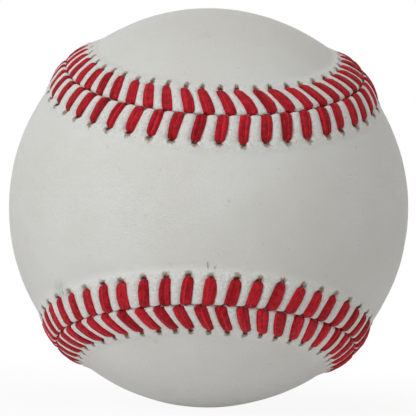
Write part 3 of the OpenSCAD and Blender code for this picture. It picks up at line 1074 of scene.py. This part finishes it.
def torn_fibres(work):
    """Torn fibres of the leather where the needle went through."""
    chance = np.random.default_rng(TORN_SEED + work.side)
    number = np.repeat(np.arange(STITCHES), TORN_PER_HOLE)
    count = len(number)
    along = work.hole[number] + chance.normal(0, TORN_SPREAD, count)
    distance = work.hole_distance[number] + chance.uniform(*TORN_DISTANCE, count)
    lean = pi / 2 + chance.normal(0, TORN_LEAN, count) + (work.chance[number] - 0.5)
    length = chance.uniform(*TORN_LENGTH, count)
    return standing_fibres(work, chance, along, distance, lean, length,
                           start=-0.12, hook=0.5, rise=(0.1, 0.2))


def stray_fibres():
    """Single torn fibres on the leather, from one pixel of the photograph to another."""
    ends = np.array([[pixel_direction(pixel) for pixel in pair] for pair in STRAY_FIBRES])
    outward = ends[:, 0]
    heading = (ends[:, 1] - ends[:, 0]) * RADIUS
    count = len(ends)
    return hair_lines(outward * (RADIUS + STRAY_HEIGHT), outward, heading, np.cross(outward, heading),
                      length=np.ones(count), hook=np.full(count, 0.04), rise=np.full(count, 0.05))


def hair_piece(name, parts, tree, thickness, material, seed):
    """One piece of all the fibres in parts, each thinner towards its tip."""
    lines, outward = (np.concatenate(arrays) for arrays in zip(*parts))
    shade = np.random.default_rng(seed).uniform(0, 1, (len(lines), 1))
    taper = np.linspace(1, FIBRE_TIP, lines.shape[1])[None]
    hairs = line_mesh(name, lines, outward, taper, shade)
    swept_piece(hairs, tree, thickness, thickness, FIBRE_FRAY, FIBRE_SIDES, seed, material)
    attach(hairs, "root")


# Stage
def make_floor():
    """A pale floor that keeps the ball's shadow and looks white further off."""
    mesh = bpy.data.meshes.new("floor")
    corners = ((-1, -1), (1, -1), (1, 1), (-1, 1))
    mesh.from_pydata([(x * FLOOR_HALF, y * FLOOR_HALF, -RADIUS * MM) for x, y in corners],
                     [], [(0, 1, 2, 3)])
    floor = place_object("floor", mesh)
    material, net, shader, place = blank_material("pale_floor")
    shader.inputs["Base Color"].default_value = srgb(240, 240, 240)
    shader.inputs["Roughness"].default_value = 0.8
    away = net.add("ShaderNodeVectorMath", {0: place}, operation="LENGTH").outputs["Value"]
    whiteness = net.remap(away, *FLOOR_FADE, *FLOOR_WHITE)
    seen = net.times(net.add("ShaderNodeLightPath").outputs["Is Camera Ray"], whiteness)
    blend = net.value("ShaderNodeMixShader", {
        0: net.larger(seen, FLOOR_GLOW), 1: shader.outputs[0], 2: net.value("ShaderNodeEmission")})
    net.feed(material.node_tree.nodes["Material Output"], "Surface", blend)
    paint(floor, material)


def make_surround():
    """A dim, slightly warm surround that looks plain white to the camera."""
    world = bpy.data.worlds.new("studio")
    bpy.context.scene.world = world
    world.use_nodes = True
    net = Tree(world.node_tree)
    world.node_tree.nodes.clear()
    dim = net.value("ShaderNodeBackground", {"Color": (1, 0.985, 0.945, 1), "Strength": 0.31})
    bright = net.value("ShaderNodeBackground", {"Color": (1, 1, 1, 1)})
    path = net.add("ShaderNodeLightPath").outputs
    seen = net.larger(path["Is Camera Ray"], path["Is Glossy Ray"])
    seen = net.larger(seen, path["Is Transmission Ray"])
    blend = net.value("ShaderNodeMixShader", {0: seen, 1: dim, 2: bright})
    net.add("ShaderNodeOutputWorld", {"Surface": blend})


def soft_lamp(name, place, size, power, colour):
    """A round lamp that faces the ball."""
    data = bpy.data.lights.new(name, "AREA")
    data.color = colour
    data.shape = "DISK"
    data.size = size
    data.energy = power
    lamp = place_object(name, data)
    lamp.location = place
    lamp.rotation_mode = "QUATERNION"
    lamp.rotation_quaternion = Vector(place).to_track_quat("Z", "Y")


# Putting it together
def sew_panel(letter, work, other, leather, thread, tree):
    """One panel of the cover with its row of stitches."""
    name = "leather_panel_" + letter
    panel = place_object(name, leather_mesh(name, work, other))
    paint(panel, leather)
    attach(panel, "root")
    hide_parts("cover_panel_" + letter)

    lines, outward, swell = strand_lines(work)
    shade = np.random.default_rng(SHADE_SEED + work.side).uniform(0, 1, (STITCHES, 1))
    shade = np.concatenate([shade, np.mod(shade + SHADE_STEP, 1)])
    stitches = line_mesh("red_stitches_" + letter, lines, outward, swell, shade)
    swept_piece(stitches, tree, STRAND_WIDTH, STRAND_THICKNESS, STRAND_FRAY, THREAD_SIDES, SEED, thread)
    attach(stitches, "root")
    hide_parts("stitches_panel_" + letter)


def build_cover(grain):
    """Both panels, sewn together, with their loose fibres."""
    leather = leather_material(grain)
    thread = thread_material(fibre_group())
    raw_leather = raw_leather_material()
    tree = sweep_tree()
    both = (Needlework(1), Needlework(-1))
    sew_panel("a", *both, leather, thread, tree)
    sew_panel("b", *reversed(both), leather, thread, tree)
    hair_piece("thread_fuzz", [thread_fuzz(work) for work in both], tree,
               FUZZ_THICKNESS, thread, FUZZ_SHADE_SEED)
    hair_piece("torn_leather_fibres", [torn_fibres(work) for work in both], tree,
               TORN_THICKNESS, raw_leather, TORN_SHADE_SEED)
    hair_piece("stray_leather_fibres", [stray_fibres()], tree,
               STRAY_THICKNESS, raw_leather, TORN_SHADE_SEED)


def finish_inside(grain):
    """The finishes of the windings and of the pill, which keep their solids."""
    kinds = ((yarn_material, wound_group(), YARNS), (moulded_material, grain, MOULDED))
    for make, group, finishes in kinds:
        for name, dark, light, measure, parts in finishes:
            material = make(name, group, srgb(*dark), srgb(*light), measure)
            for node in parts:
                paint(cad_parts[node], material)


grain = grain_group()
build_cover(grain)
finish_inside(grain)
make_floor()
make_surround()
for lamp in LAMPS:
    soft_lamp(*lamp)
bpy.context.scene.view_settings.view_transform = "Standard"
